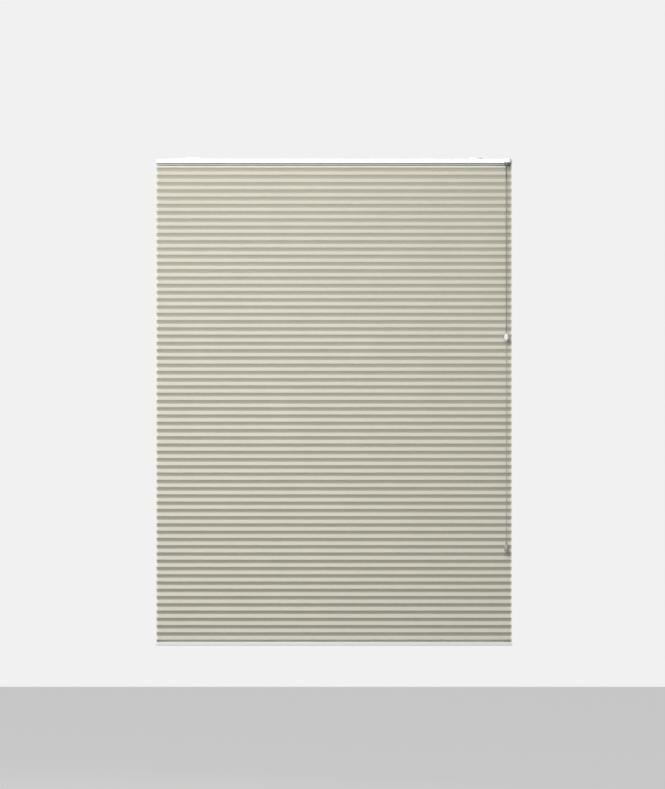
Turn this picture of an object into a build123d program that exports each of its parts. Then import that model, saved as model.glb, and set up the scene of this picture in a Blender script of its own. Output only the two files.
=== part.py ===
"""Cellular pleated blind, lowered, with a front cord lock at the right end of its headrail.

Millimetres. X runs along the width, -Y faces the room, +Z is up. The origin is the centre of
the four fixing holes, on the top face of the two brackets.
"""

from build123d import *
import math
import os

os.makedirs("parts", exist_ok=True)

# ---- overall sizes -------------------------------------------------------------------------
blind_width = 980.0  # over the headrail's end caps
cell_count = 66
cell_pitch = 20.0  # from fold to fold, as the fabric hangs
touch_gap = 0.3  # between pieces that lie on each other and may move apart

# ---- brackets ------------------------------------------------------------------------------
bracket_inset = 100.0  # from the blind's end to the bracket's centre
bracket_width = 36.0
bracket_depth = 30.0
bracket_sheet = 1.2
screw_hole_r = 2.25
screw_hole_x = 10.0  # from the bracket's centre, outwards
screw_spacing_y = 16.0
hook_reach = 3.3  # how far the hook's foot goes under the headrail's lip
lever_pivot_y = 5.0
lever_thickness = 1.2
lever_hub_r = 4.2
lever_arm_width = 7.0
lever_handle_reach = 22.0
rivet_r = 2.0
rivet_head_r = 3.4
rivet_head_h = 0.7
bracket_corner_r = 2.4
running_clearance = 0.06

# ---- headrail ------------------------------------------------------------------------------
headrail_drop = 3.0  # from the fixing face to the headrail's top
headrail_depth = 38.0
headrail_box_h = 12.4
headrail_wall = 1.3
headrail_slot = 25.0  # open width between the top lips
headrail_corner_r = 1.6
channel_depth = 30.0  # the recessed channel under the box, which holds the fabric
channel_h = 4.7
channel_wall = 1.2
channel_slot = 23.0
headrail_cap_t = 5.8
cap_plug = 2.0
cap_clearance = 0.2
cap_prong_length = 12.0
cap_edge_r = 1.2
cap_prong_share_y = 1 / 8  # of the headrail's depth
cap_prong_share_z = 1 / 3  # of the headrail's box height

# ---- fabric and its strips ------------------------------------------------------------------
fabric_end_gap = 1.0  # the fabric stops short of the headrail's ends
fabric_wall = 0.3
web_half = 3.0  # half the width of the glued joint between two cells
fold_depth = 8.0  # from the glued joint's edge to the fold
upper_face_rise = 9.56  # of each pitch, from the joint down to the fold
first_fold_drop = 8.1  # from the top strip to the first fold
last_face_rise = 8.24  # from the last fold down to the bottom strip
strip_side_gap = 0.3
top_strip_t = 1.8
bottom_strip_t = 1.4
bottom_strip_width = 26.0
cord_hole_r = 2.0
strip_end_gap = 3.0

# ---- bottom rail ---------------------------------------------------------------------------
rail_depth = 32.0
rail_height = 9.5
rail_wall = 1.2
rail_slot = 18.0
rail_corner_r = 1.4
rail_cap_t = 3.5
rail_cap_plug = 9.0
rail_cap_edge_r = 1.12
stack_per_cell = 1.3  # height that a closed cell takes up when the blind is raised

# ---- lift cords, guides and anchors ---------------------------------------------------------
lift_cord_r = 0.5
cord_inset = 130.0  # from the blind's end to the outer lift cords
lane_top_depth = 4.0  # from the headrail's top to the highest cord that runs along it
lane_gap = 0.6  # between the cords that run along the headrail
guide_arc_r = 4.0
guide_gap = 0.1
guide_bore_gap = 0.3
guide_width = 7.0
guide_base_x = 18.0
guide_base_y = 16.0
guide_base_t = 1.4
guide_stem_r = 3.6
guide_stem_gap = 0.15
washer_r = 4.5
washer_t = 1.2
washer_bore_r = 0.8
lift_knot_r = 1.9

# ---- cord lock -----------------------------------------------------------------------------
cord_end_inset = 16.3  # from the blind's end to the middle hanging cord
exit_reach = 7.0  # from the headrail's front to the plane in which the cords hang
exit_top = 9.4  # depth of the cords' middle as they pass over the lock's front pin
tail_gap = 0.6  # between the cords where they come down out of the lock
entry_gap = 0.15  # between the cords where they go into the connector
lock_wall = 1.4
lock_floor_t = 1.6
lock_left = 13.0  # from the middle hanging cord to the lock's inner end
lock_right = 7.4
lock_back = 4.6  # y of the lock's rear face
lock_side_gap = 0.3
post_arc_r = 3.2  # arc of the cords round the post
post_gap = 0.4
front_pin_r = 1.5
front_arc_r = 2.2
roller_r = 1.6
roller_length = 11.0
roller_journal_r = 0.8
roller_journal_length = 1.2
roller_reach = 2.0  # from the headrail's front to the roller's axis
roller_slope = 25.0
roller_travel = 1.6
journal_clearance = 0.06
nose_width = 15.5
nose_offset = 1.95  # the nose's centre lies this far outside the middle cord
nose_reach = 12.5  # how far the nose stands out from the headrail's front
nose_height = 11.6
nose_wall = 1.85
nose_roof = 0.9
nose_front_wall = 1.6
journal_slot_depth = 1.0
nose_edge_r = 1.4
outlet_width = 16.4
outlet_depth = 10.4
outlet_bead_h = 5.4
outlet_gap = 1.6  # dark gap between the nose and the outlet's bead
outlet_neck_width = 11.4
outlet_neck_depth = 8.2
outlet_neck_up = 1.1  # how far the neck stands up into the nose
outlet_bore_width = 7.4
outlet_bore_depth = 5.2
outlet_bore_offset = 0.6
outlet_bead_r = 2.2
outlet_reach = 6.6  # from the headrail's front to the outlet's centre

# ---- connector, pull cord and tassel --------------------------------------------------------
connector_top_z = -484.0
connector_height = 21.0
connector_r = 7.6
connector_cap_share = 0.45  # of the connector's height
connector_shoulder_flare = 1.0
connector_foot_flare = 2.0
connector_belly_top = 1.3  # pull of the belly's curve, as a share of half its height
connector_belly_foot = 0.3
connector_wall = 1.4
connector_neck_r = 3.2
connector_neck_bore_r = 2.3
connector_foot_r = 3.0
spigot_height = 2.4
spigot_gap = 0.15
tail_end_depth = 9.0  # how far the lift cords reach into the connector
pull_cord_r = 0.9
pull_bore_gap = 0.2
pull_knot_r = 2.2
tassel_top_z = -1057.0
tassel_height = 26.0
tassel_r = 6.1
tassel_neck_r = 2.3
tassel_cavity_r = 3.4
tassel_cavity_h = 9.0
tassel_neck_flare = 0.5
tassel_neck_share = 0.4  # heights of the drop's curve, as shares of the tassel's height
tassel_waist_share = 0.5
tassel_widest_share = 0.75
tassel_lip_share = 0.1
tassel_lip_width = 0.8  # of the radius

# ---- places worked out from the sizes -------------------------------------------------------
half_width = blind_width / 2
headrail_top = -headrail_drop
box_bottom = headrail_top - headrail_box_h
box_floor = box_bottom + headrail_wall
channel_bottom = box_bottom - channel_h
channel_lip_top = channel_bottom + channel_wall
headrail_half = half_width - headrail_cap_t
headrail_front = -headrail_depth / 2
exit_y = headrail_front - exit_reach
roller_y = headrail_front - roller_reach
nose_front = headrail_front - nose_reach
outlet_y = headrail_front - outlet_reach

fabric_top = channel_lip_top
fabric_half = half_width - fabric_end_gap
first_fold = fabric_top - first_fold_drop
last_fold = first_fold - (cell_count - 1) * cell_pitch
lower_face_rise = cell_pitch - upper_face_rise
fabric_bottom = last_fold - last_face_rise

rail_top = fabric_bottom + rail_wall + touch_gap
rail_bottom = rail_top - rail_height
rail_half = half_width - rail_cap_t
lift_travel = (channel_bottom - rail_top) - cell_count * stack_per_cell

cord_names = ("left", "middle", "right")
cord_xs = (cord_inset - half_width, 0.0, half_width - cord_inset)
lane_pitch = 2 * lift_cord_r + lane_gap
tail_pitch = 2 * lift_cord_r + tail_gap
entry_pitch = 2 * lift_cord_r + entry_gap
lane_zs = [headrail_top - lane_top_depth - i * lane_pitch for i in range(len(cord_xs))]
exit_x = half_width - cord_end_inset
tail_xs = [exit_x + (i - 1) * tail_pitch for i in range(len(cord_xs))]
entry_xs = [exit_x + (i - 1) * entry_pitch for i in range(len(cord_xs))]
exit_z = -exit_top
nose_x = exit_x + nose_offset
nose_bottom = headrail_top - nose_height
lock_front = headrail_front + headrail_wall + lock_side_gap
nose_back = lock_front + lock_wall
nose_left = nose_x - nose_width / 2
lock_x_right = exit_x + lock_right
connector_bottom_z = connector_top_z - connector_height
connector_seam_z = connector_top_z - connector_cap_share * connector_height
tail_end_z = connector_top_z - tail_end_depth
washer_top = fabric_bottom - bottom_strip_t
washer_bottom = washer_top - washer_t
bracket_xs = (bracket_inset - half_width, half_width - bracket_inset)
sides = (("left", -1), ("right", 1))


def keep(piece, node):
    """Label a finished piece and write it out under its node's name."""
    piece.label = node
    export_step(piece, "parts/" + node + ".step")


# ---- headrail ------------------------------------------------------------------------------
with BuildPart() as headrail:
    with BuildSketch(Plane.YZ.offset(-headrail_half)):
        with Locations((0, (headrail_top + box_bottom) / 2)):
            outline = Rectangle(headrail_depth, headrail_box_h)
        fillet(outline.vertices(), headrail_corner_r)
        with Locations((0, (box_bottom + channel_bottom) / 2)):
            Rectangle(channel_depth, channel_h)
        with Locations((0, (headrail_top - headrail_wall + box_floor) / 2)):
            Rectangle(
                headrail_depth - 2 * headrail_wall,
                headrail_box_h - 2 * headrail_wall,
                mode=Mode.SUBTRACT,
            )
        with Locations((0, headrail_top)):
            Rectangle(headrail_slot, 4 * headrail_wall, mode=Mode.SUBTRACT)
        with Locations((0, (box_bottom + channel_lip_top) / 2)):
            Rectangle(
                channel_depth - 2 * channel_wall,
                channel_h - channel_wall,
                mode=Mode.SUBTRACT,
            )
        with Locations((0, channel_bottom)):
            Rectangle(channel_slot, 4 * channel_wall, mode=Mode.SUBTRACT)
    extrude(amount=2 * headrail_half)
    # round holes in the floor, one for each cord guide's stem
    with BuildSketch(Plane.XY.offset(box_floor)):
        with Locations(*[(x, 0) for x in cord_xs]):
            Circle(guide_stem_r + guide_stem_gap)
    extrude(amount=-headrail_wall, mode=Mode.SUBTRACT)
    # window in the front wall, through which the cord lock's nose stands out
    with BuildSketch(Plane.XZ.offset(-nose_back - touch_gap)):
        with Locations(((nose_left + lock_x_right) / 2, (headrail_top + nose_bottom) / 2)):
            Rectangle(lock_x_right - nose_left + 2 * touch_gap, nose_height + 2 * touch_gap)
    extrude(amount=nose_back + 2 * touch_gap - headrail_front, mode=Mode.SUBTRACT)
keep(headrail.part, "headrail")

for side, sign in sides:
    with BuildPart() as headrail_cap:
        with BuildSketch(Plane.YZ.offset(sign * headrail_half)):
            with Locations((0, (headrail_top + box_bottom) / 2)):
                outline = Rectangle(headrail_depth, headrail_box_h)
            fillet(outline.vertices(), headrail_corner_r)
            with Locations((0, (box_bottom + channel_bottom) / 2)):
                Rectangle(channel_depth, channel_h)
        extrude(amount=sign * headrail_cap_t)
        outer_face = headrail_cap.faces().sort_by(Axis.X)[0 if sign < 0 else -1]
        fillet(outer_face.edges(), cap_edge_r)
        with BuildSketch(Plane.YZ.offset(sign * headrail_half)):
            with Locations((0, (headrail_top - headrail_wall + box_floor) / 2)):
                Rectangle(
                    headrail_depth - 2 * (headrail_wall + cap_clearance),
                    headrail_box_h - 2 * (headrail_wall + cap_clearance),
                )
        extrude(amount=-sign * cap_plug)
        prong_y = headrail_depth / 4
        prong_z = (headrail_top + box_bottom) / 2
        with Locations((sign * (headrail_half - cap_prong_length / 2), prong_y, prong_z)):
            Box(
                cap_prong_length,
                headrail_depth * cap_prong_share_y,
                headrail_box_h * cap_prong_share_z,
            )
        # notch under the channel, as wide as its slot, where the fabric's end lies
        notch_h = channel_wall + touch_gap
        with Locations((sign * half_width, 0, channel_bottom + notch_h / 2)):
            Box(2 * headrail_cap_t, channel_slot, notch_h, mode=Mode.SUBTRACT)
    keep(headrail_cap.part, "headrail_end_cap_" + side)

# ---- fabric strips and honeycomb fabric ------------------------------------------------------
with BuildPart() as top_strip:
    strip_width = channel_depth - 2 * (channel_wall + strip_side_gap)
    with Locations((0, 0, channel_lip_top + top_strip_t / 2)):
        Box(2 * (headrail_half - strip_end_gap), strip_width, top_strip_t)
    with Locations(*[(x, 0, channel_lip_top + top_strip_t / 2) for x in cord_xs]):
        Cylinder(cord_hole_r, 2 * top_strip_t, mode=Mode.SUBTRACT)
keep(top_strip.part, "top_fabric_strip")

joint_zs = [fabric_top]
joint_zs += [first_fold - lower_face_rise - k * cell_pitch for k in range(cell_count - 1)]
joint_zs += [fabric_bottom]
fold_zs = [first_fold - k * cell_pitch for k in range(cell_count)]
fold_y = web_half + fold_depth

with BuildSketch(Plane.YZ.offset(-fabric_half)) as cell_hollows:
    for top, fold, bottom in zip(joint_zs, fold_zs, joint_zs[1:]):
        with BuildSketch(Plane.YZ.offset(-fabric_half), mode=Mode.PRIVATE) as cell:
            with BuildLine():
                Polyline(
                    (web_half, top),
                    (fold_y, fold),
                    (web_half, bottom),
                    (-web_half, bottom),
                    (-fold_y, fold),
                    (-web_half, top),
                    close=True,
                )
            make_face()
            offset(amount=-fabric_wall, kind=Kind.INTERSECTION)
        add(cell.sketch_local)

with BuildPart() as fabric:
    with BuildSketch(Plane.YZ.offset(-fabric_half)):
        right_side = [(web_half, fabric_top)]
        for fold, bottom in zip(fold_zs, joint_zs[1:]):
            right_side += [(fold_y, fold), (web_half, bottom)]
        left_side = [(-y, z) for y, z in reversed(right_side)]
        with BuildLine():
            Polyline(*right_side, *left_side, close=True)
        make_face()
        add(cell_hollows.sketch_local, mode=Mode.SUBTRACT)
    extrude(amount=2 * fabric_half)
    # a punched hole for each lift cord, through every glued joint
    with BuildSketch(Plane.XY.offset(fabric_bottom)):
        with Locations(*[(x, 0) for x in cord_xs]):
            Circle(cord_hole_r)
    extrude(amount=fabric_top - fabric_bottom, mode=Mode.SUBTRACT)
keep(fabric.part, "honeycomb_fabric")

with BuildPart() as bottom_strip:
    with Locations((0, 0, fabric_bottom - bottom_strip_t / 2)):
        Box(2 * (rail_half - rail_cap_plug - strip_end_gap), bottom_strip_width, bottom_strip_t)
    with Locations(*[(x, 0, fabric_bottom - bottom_strip_t / 2) for x in cord_xs]):
        Cylinder(cord_hole_r, 2 * bottom_strip_t, mode=Mode.SUBTRACT)
keep(bottom_strip.part, "bottom_fabric_strip")

# ---- bottom rail ---------------------------------------------------------------------------
with BuildPart() as bottom_rail:
    with BuildSketch(Plane.YZ.offset(-rail_half)):
        with Locations((0, (rail_top + rail_bottom) / 2)):
            outline = Rectangle(rail_depth, rail_height)
            fillet(outline.vertices(), rail_corner_r)
            Rectangle(rail_depth - 2 * rail_wall, rail_height - 2 * rail_wall, mode=Mode.SUBTRACT)
        with Locations((0, rail_top)):
            Rectangle(rail_slot, 4 * rail_wall, mode=Mode.SUBTRACT)
    extrude(amount=2 * rail_half)
keep(bottom_rail.part, "bottom_rail")

for side, sign in sides:
    with BuildPart() as rail_cap:
        with BuildSketch(Plane.YZ.offset(sign * rail_half)):
            with Locations((0, (rail_top + rail_bottom) / 2)):
                outline = Rectangle(rail_depth, rail_height)
            fillet(outline.vertices(), rail_corner_r)
        extrude(amount=sign * rail_cap_t)
        outer_face = rail_cap.faces().sort_by(Axis.X)[0 if sign < 0 else -1]
        fillet(outer_face.edges(), rail_cap_edge_r)
        with BuildSketch(Plane.YZ.offset(sign * rail_half)):
            with Locations((0, (rail_top + rail_bottom) / 2)):
                Rectangle(
                    rail_depth - 2 * (rail_wall + cap_clearance),
                    rail_height - 2 * (rail_wall + cap_clearance),
                )
        extrude(amount=-sign * rail_cap_plug)
        # notch in the top, as wide as the rail's slot, where the fabric's end lies
        notch_h = rail_top - fabric_bottom + touch_gap
        with Locations((sign * (half_width - rail_cap_t), 0, rail_top - notch_h / 2)):
            Box(4 * rail_cap_plug, rail_slot, notch_h, mode=Mode.SUBTRACT)
    keep(rail_cap.part, "bottom_rail_end_cap_" + side)

# ---- cord guides, washers and lift cords -----------------------------------------------------
tube_volumes = []


def cord_tube(points, radii, radius):
    """A round cord along straight runs joined by arcs, checked against its section and length."""
    with BuildPart() as tube:
        with BuildLine() as route:
            FilletPolyline(*points, radius=radii)
        wire = route.wires()[0]
        with BuildSketch(Plane(origin=wire @ 0, z_dir=wire % 0)):
            Circle(radius)
        sweep(path=wire)
    expected = math.pi * radius**2 * wire.length
    tube_volumes.append((tube.part.volume, expected, wire.length, radii))
    return tube.part


for name, cord_x, lane_z, tail_x, entry_x in zip(
    cord_names, cord_xs, lane_zs, tail_xs, entry_xs
):
    # guide: a base on the headrail's floor, a stem through it and a rounded saddle for the cord
    saddle_r = guide_arc_r - lift_cord_r - guide_gap
    saddle_x = cord_x + guide_arc_r
    saddle_z = lane_z - guide_arc_r
    base_top = box_floor + guide_base_t
    # the bore widens where the cord's arc begins inside the base
    arc_dip = max(0.0, base_top - saddle_z)
    arc_drift = guide_arc_r - math.sqrt(guide_arc_r**2 - arc_dip**2)
    with BuildPart() as guide:
        with Locations((cord_x, 0, box_floor + guide_base_t / 2)):
            Box(guide_base_x, guide_base_y, guide_base_t)
        with Locations((cord_x, 0, box_floor - headrail_wall / 2)):
            Cylinder(guide_stem_r, headrail_wall)
        with BuildSketch(Plane.XZ.offset(-guide_width / 2)):
            with Locations((saddle_x, saddle_z)):
                Circle(saddle_r)
            with Locations((saddle_x, (saddle_z + box_floor) / 2)):
                Rectangle(2 * saddle_r, saddle_z - box_floor)
            with Locations((saddle_x, box_floor - saddle_r)):
                Rectangle(2 * saddle_r, 2 * saddle_r, mode=Mode.SUBTRACT)
        extrude(amount=guide_width)
        with Locations((cord_x - guide_gap, 0, box_floor)):
            Cylinder(
                lift_cord_r + guide_bore_gap + arc_drift,
                4 * guide_arc_r,
                mode=Mode.SUBTRACT,
            )
    keep(guide.part, "cord_guide_" + name)

    with BuildPart() as washer:
        with Locations((cord_x, 0, washer_top - washer_t / 2)):
            Cylinder(washer_r, washer_t)
            Cylinder(washer_bore_r, 2 * washer_t, mode=Mode.SUBTRACT)
    keep(washer.part, "cord_washer_" + name)

    knot_seat = math.sqrt(lift_knot_r**2 - washer_bore_r**2)
    knot_z = washer_bottom - knot_seat - guide_gap
    over_pin = (tail_x, exit_y, exit_z)
    split = (
        (exit_x + tail_x) / 2,
        exit_y / 2,
        (lane_z + exit_z) / 2,
    )
    raised_run = cord_tube(
        [(cord_x, 0, knot_z), (cord_x, 0, lane_z), (exit_x, 0, lane_z), split],
        [guide_arc_r, post_arc_r],
        lift_cord_r,
    )
    with BuildPart() as lift_cord:
        add(raised_run)
        with Locations((cord_x, 0, knot_z)):
            Sphere(lift_knot_r)
    keep(lift_cord.part, "lift_cord_" + name)

    tail_end = (entry_x, exit_y, tail_end_z)
    tail = cord_tube([split, over_pin, tail_end], [front_arc_r], lift_cord_r)
    keep(tail, "hanging_cord_" + name)

# ---- cord lock -----------------------------------------------------------------------------
lock_x_left = exit_x - lock_left
lock_top = headrail_top - headrail_wall - lock_side_gap
post_x = exit_x - post_arc_r
post_r = post_arc_r - lift_cord_r - post_gap
front_pin_y = exit_y + front_arc_r
front_pin_z = exit_z - front_arc_r
nose_inner = nose_width - 2 * nose_wall
slope = math.radians(roller_slope)
highest_cord = max(
    lane_z + (exit_z - lane_z) * roller_y / exit_y for lane_z in lane_zs
)
roller_z = highest_cord + lift_cord_r + touch_gap + roller_r
slot_y = roller_y - math.cos(slope) * roller_travel / 2
slot_z = roller_z + math.sin(slope) * roller_travel / 2

nose_rear = headrail_front - touch_gap
nose_z = (headrail_top + nose_bottom) / 2
with BuildPart() as nose_block:
    with Locations((nose_x, (nose_front + nose_rear) / 2, nose_z)):
        Box(nose_width, nose_rear - nose_front, nose_height)
    front_face = nose_block.faces().sort_by(Axis.Y)[0]
    fillet(front_face.edges(), nose_edge_r)
    # narrower root that passes through the headrail's window
    with Locations(((nose_left + lock_x_right) / 2, (nose_rear + nose_back) / 2, nose_z)):
        Box(lock_x_right - nose_left, nose_back - nose_rear, nose_height)

with BuildPart() as lock:
    # tray inside the headrail, open at the top
    tray_x = (lock_x_left + lock_x_right) / 2
    tray_y = (lock_front + lock_back) / 2
    with Locations((tray_x, tray_y, (lock_top + box_floor) / 2)):
        Box(lock_x_right - lock_x_left, lock_back - lock_front, lock_top - box_floor)
    add(nose_block.part)
    tray_floor = box_floor + lock_floor_t
    with Locations((tray_x, tray_y, (lock_top + tray_floor) / 2)):
        Box(
            lock_x_right - lock_x_left - 2 * lock_wall,
            lock_back - lock_front - 2 * lock_wall,
            lock_top - tray_floor,
            mode=Mode.SUBTRACT,
        )
    # notch in the inner end wall, where the lift cords come in above one another
    notch_bottom = min(lane_zs) - lift_cord_r - touch_gap
    with Locations((lock_x_left, 0, (lock_top + notch_bottom) / 2)):
        Box(
            4 * lock_wall,
            2 * (lift_cord_r + touch_gap),
            lock_top - notch_bottom,
            mode=Mode.SUBTRACT,
        )
    # hollow of the nose, open below, and the passage into it from the tray
    hollow_front = nose_front + nose_front_wall
    nose_ceiling = headrail_top - nose_roof
    with Locations((nose_x, (hollow_front + nose_rear) / 2, (nose_ceiling + nose_bottom) / 2)):
        Box(
            nose_inner,
            nose_rear - hollow_front,
            nose_ceiling - nose_bottom,
            mode=Mode.SUBTRACT,
        )
    passage_bottom = tray_floor + touch_gap
    passage_half = lock_x_right - lock_wall - nose_x
    with Locations((nose_x, (nose_rear + nose_back) / 2, (lock_top - touch_gap + passage_bottom) / 2)):
        Box(
            2 * passage_half,
            nose_back - nose_rear + touch_gap,
            lock_top - touch_gap - passage_bottom,
            mode=Mode.SUBTRACT,
        )
    # slanted slots for the roller's journals
    with BuildSketch(Plane.YZ.offset(nose_x - nose_inner / 2 - journal_slot_depth)):
        with Locations((slot_y, slot_z)):
            SlotCenterToCenter(
                roller_travel,
                2 * (roller_journal_r + journal_clearance),
                rotation=-roller_slope,
            )
    extrude(amount=nose_inner + 2 * journal_slot_depth, mode=Mode.SUBTRACT)
    # seats of the front pin and of the upright post
    with Locations((nose_x, front_pin_y, front_pin_z)):
        Cylinder(
            front_pin_r + journal_clearance,
            nose_inner + 2 * journal_slot_depth,
            rotation=(0, 90, 0),
            mode=Mode.SUBTRACT,
        )
    with Locations((post_x, -post_arc_r, tray_floor)):
        Cylinder(
            post_r + journal_clearance,
            lock_floor_t,
            mode=Mode.SUBTRACT,
        )
keep(lock.part, "cord_lock_body")

with BuildPart() as roller:
    with Locations((nose_x, roller_y, roller_z)):
        Cylinder(roller_r, roller_length, rotation=(0, 90, 0))
        Cylinder(
            roller_journal_r,
            roller_length + 2 * roller_journal_length,
            rotation=(0, 90, 0),
        )
keep(roller.part, "cord_lock_roller")

with BuildPart() as front_pin:
    with Locations((nose_x, front_pin_y, front_pin_z)):
        Cylinder(front_pin_r, nose_inner + 2 * journal_slot_depth - touch_gap, rotation=(0, 90, 0))
keep(front_pin.part, "cord_lock_front_pin")

with BuildPart() as post:
    post_bottom = tray_floor - lock_floor_t / 2 + journal_clearance
    with Locations((post_x, -post_arc_r, (post_bottom + lock_top) / 2)):
        Cylinder(post_r, lock_top - post_bottom)
keep(post.part, "cord_lock_post")

with BuildPart() as outlet:
    bead_top = nose_bottom - outlet_gap
    with BuildSketch(Plane.XY.offset(bead_top - outlet_bead_h)):
        with Locations((nose_x, outlet_y)):
            Ellipse(outlet_width / 2, outlet_depth / 2)
    extrude(amount=outlet_bead_h)
    fillet(outlet.edges(), outlet_bead_r)
    with BuildSketch(Plane.XY.offset(bead_top - outlet_bead_h / 2)):
        with Locations((nose_x, outlet_y)):
            Ellipse(outlet_neck_width / 2, outlet_neck_depth / 2)
    extrude(amount=outlet_bead_h / 2 + outlet_gap + outlet_neck_up)
    with BuildSketch(Plane.XY.offset(bead_top - outlet_bead_h)):
        with Locations((exit_x + outlet_bore_offset, exit_y)):
            Ellipse(outlet_bore_width / 2, outlet_bore_depth / 2)
    extrude(amount=outlet_bead_h + outlet_gap + outlet_neck_up, mode=Mode.SUBTRACT)
keep(outlet.part, "cord_outlet")

# ---- connector, pull cord and tassel --------------------------------------------------------
cord_plane = Plane(origin=(exit_x, exit_y, 0), x_dir=(1, 0, 0), z_dir=(0, -1, 0))
cord_axis = Axis((exit_x, exit_y, 0), (0, 0, 1))
cavity_r = connector_r - connector_wall
pull_bore_r = pull_cord_r + pull_bore_gap

with BuildPart() as connector_top:
    with BuildSketch(cord_plane):
        shoulder = (connector_top_z - connector_seam_z) / 2
        with BuildLine():
            Bezier(
                (connector_neck_r, connector_top_z),
                (connector_neck_r + connector_shoulder_flare, connector_top_z - shoulder),
                (connector_r, connector_top_z - shoulder),
                (connector_r, connector_seam_z),
            )
            Polyline(
                (connector_r, connector_seam_z),
                (cavity_r, connector_seam_z),
                (cavity_r, connector_seam_z + spigot_height + touch_gap),
                (connector_neck_bore_r, connector_top_z - connector_wall * 2),
                (connector_neck_bore_r, connector_top_z),
                (connector_neck_r, connector_top_z),
            )
        make_face()
    revolve(axis=cord_axis)
keep(connector_top.part, "connector_top")

with BuildPart() as connector_bottom:
    with BuildSketch(cord_plane):
        belly = (connector_seam_z - connector_bottom_z) / 2
        with BuildLine():
            Bezier(
                (connector_r, connector_seam_z),
                (connector_r, connector_seam_z - belly * connector_belly_top),
                (
                    connector_foot_r + connector_foot_flare,
                    connector_bottom_z + belly * connector_belly_foot,
                ),
                (connector_foot_r, connector_bottom_z),
            )
            Polyline(
                (connector_foot_r, connector_bottom_z),
                (pull_bore_r, connector_bottom_z),
                (pull_bore_r, connector_bottom_z + connector_wall * 2),
                (cavity_r - 2 * connector_wall, connector_bottom_z + connector_wall * 2.5),
                (cavity_r - connector_wall, connector_seam_z),
                (cavity_r - connector_wall, connector_seam_z + spigot_height),
                (cavity_r - spigot_gap, connector_seam_z + spigot_height),
                (cavity_r - spigot_gap, connector_seam_z),
                (connector_r, connector_seam_z),
            )
        make_face()
    revolve(axis=cord_axis)
keep(connector_bottom.part, "connector_bottom")

tassel_bottom_z = tassel_top_z - tassel_height
tassel_roof_z = tassel_bottom_z + tassel_cavity_h
upper_knot_z = connector_bottom_z + connector_wall * 2.5 + pull_knot_r + touch_gap
lower_knot_z = tassel_roof_z - pull_knot_r - touch_gap
with BuildPart() as pull_cord:
    with Locations((exit_x, exit_y, (upper_knot_z + lower_knot_z) / 2)):
        Cylinder(pull_cord_r, upper_knot_z - lower_knot_z)
    with Locations((exit_x, exit_y, upper_knot_z), (exit_x, exit_y, lower_knot_z)):
        Sphere(pull_knot_r)
keep(pull_cord.part, "pull_cord")

widest_z = tassel_top_z - tassel_height * tassel_widest_share
with BuildPart() as tassel:
    with BuildSketch(cord_plane):
        with BuildLine():
            Bezier(
                (tassel_neck_r, tassel_top_z),
                (tassel_neck_r + tassel_neck_flare, tassel_top_z - tassel_height * tassel_neck_share),
                (tassel_r, tassel_top_z - tassel_height * tassel_waist_share),
                (tassel_r, widest_z),
            )
            Bezier(
                (tassel_r, widest_z),
                (tassel_r, tassel_bottom_z + tassel_height * tassel_lip_share),
                (tassel_r * tassel_lip_width, tassel_bottom_z),
                (tassel_cavity_r, tassel_bottom_z),
            )
            Polyline(
                (tassel_cavity_r, tassel_bottom_z),
                (tassel_cavity_r, tassel_roof_z),
                (pull_bore_r, tassel_roof_z),
                (pull_bore_r, tassel_top_z),
                (tassel_neck_r, tassel_top_z),
            )
        make_face()
    revolve(axis=cord_axis)
keep(tassel.part, "tassel")

# ---- brackets, levers and rivets --------------------------------------------------------------
leg_front = -headrail_slot / 2 + touch_gap
foot_top = headrail_top - headrail_wall - touch_gap
lever_top = -bracket_sheet - touch_gap
catch_bottom = foot_top - bracket_sheet
for (side, sign), bracket_x in zip(sides, bracket_xs):
    with BuildPart() as bracket:
        plate_y = leg_front + bracket_depth / 2
        with Locations((bracket_x, plate_y, -bracket_sheet / 2)):
            Box(bracket_width, bracket_depth, bracket_sheet)
        with Locations((bracket_x, leg_front + bracket_sheet / 2, catch_bottom / 2)):
            Box(bracket_width, bracket_sheet, -catch_bottom)
        foot_y = leg_front + bracket_sheet / 2 - hook_reach / 2
        with Locations((bracket_x, foot_y, foot_top - bracket_sheet / 2)):
            Box(bracket_width, hook_reach + bracket_sheet, bracket_sheet)
        screw_x = bracket_x + sign * screw_hole_x
        with Locations((screw_x, 0, 0)):
            with GridLocations(0, screw_spacing_y, 1, 2):
                Cylinder(screw_hole_r, 4 * bracket_sheet, mode=Mode.SUBTRACT)
        with Locations((bracket_x, lever_pivot_y, 0)):
            Cylinder(rivet_r + running_clearance, 4 * bracket_sheet, mode=Mode.SUBTRACT)
        corners = bracket.edges().filter_by(Axis.Z).group_by(Axis.Y)[-1]
        fillet(corners, bracket_corner_r)
    keep(bracket.part, "bracket_" + side)

    catch_reach = headrail_slot / 2 + hook_reach - lever_pivot_y
    with BuildPart() as lever:
        with Locations((bracket_x, lever_pivot_y, (lever_top + catch_bottom) / 2)):
            Cylinder(lever_hub_r, lever_top - catch_bottom)
        handle_y = lever_pivot_y + lever_handle_reach / 2
        with BuildSketch(Plane.XY.offset(lever_top - lever_thickness)):
            with Locations((bracket_x, handle_y)):
                SlotOverall(lever_handle_reach + lever_arm_width, lever_arm_width, rotation=90)
        extrude(amount=lever_thickness)
        with BuildSketch(Plane.XY.offset(catch_bottom)):
            with Locations((bracket_x, lever_pivot_y + catch_reach / 2)):
                Rectangle(lever_arm_width, catch_reach)
        extrude(amount=bracket_sheet)
        with Locations((bracket_x, lever_pivot_y, 0)):
            Cylinder(rivet_r + running_clearance, -4 * catch_bottom, mode=Mode.SUBTRACT)
    keep(lever.part, "bracket_lever_" + side)

    with BuildPart() as rivet:
        head_top = catch_bottom - touch_gap / 2
        with Locations((bracket_x, lever_pivot_y, head_top / 2)):
            Cylinder(rivet_r, -head_top)
        with Locations((bracket_x, lever_pivot_y, head_top - rivet_head_h / 2)):
            Cylinder(rivet_head_r, rivet_head_h)
    keep(rivet.part, "bracket_rivet_" + side)

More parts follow.
